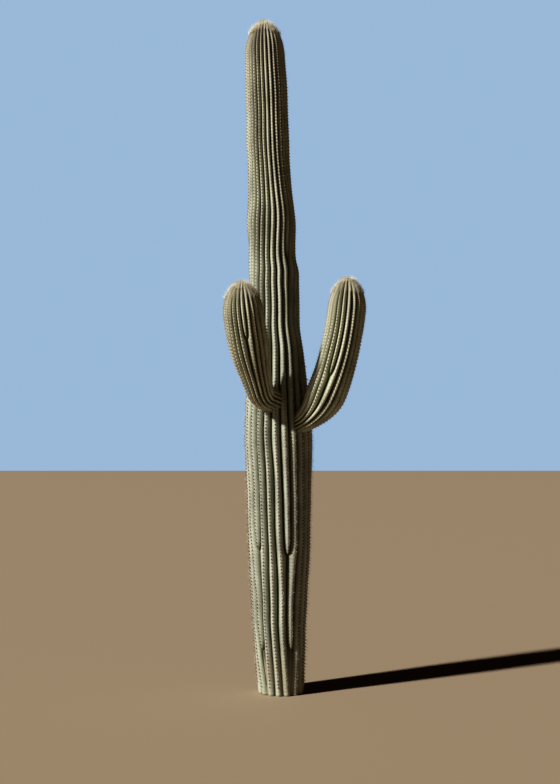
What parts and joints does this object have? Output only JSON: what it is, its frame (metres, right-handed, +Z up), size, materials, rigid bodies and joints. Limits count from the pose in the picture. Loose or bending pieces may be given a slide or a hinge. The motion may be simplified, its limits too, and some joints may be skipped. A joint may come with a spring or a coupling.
{
  "type": "saguaro cactus",
  "caption": "Tall rooted columnar desert cactus with pleated ribs, a tapering leaning trunk, upturned side arms that bend at an elbow, and pale spine caps on the tips.",
  "frame": {"origin": "middle of the flat cut under the trunk, at ground level", "axes": "+Z up, along the trunk; -Y is the front that the picture shows; +X is to the right of that view"},
  "size_m": [0.9885, 0.9828, 5.0019],
  "materials": {
    "trunk_skin": "waxy matte green skin, paler on the rib crests and browner in the grooves",
    "arm_skin": "waxy matte yellow-green skin of younger growth",
    "spines": "dry pale cream felt and spines"
  },
  "bodies": {
    "root": {"trunk": "trunk_skin", "left_arm_elbow": "arm_skin", "left_arm": "arm_skin", "right_arm_elbow": "arm_skin", "right_arm": "arm_skin", "trunk_spine_cap": "spines", "left_arm_spine_cap": "spines", "right_arm_spine_cap": "spines"}
  },
  "joints": []
}
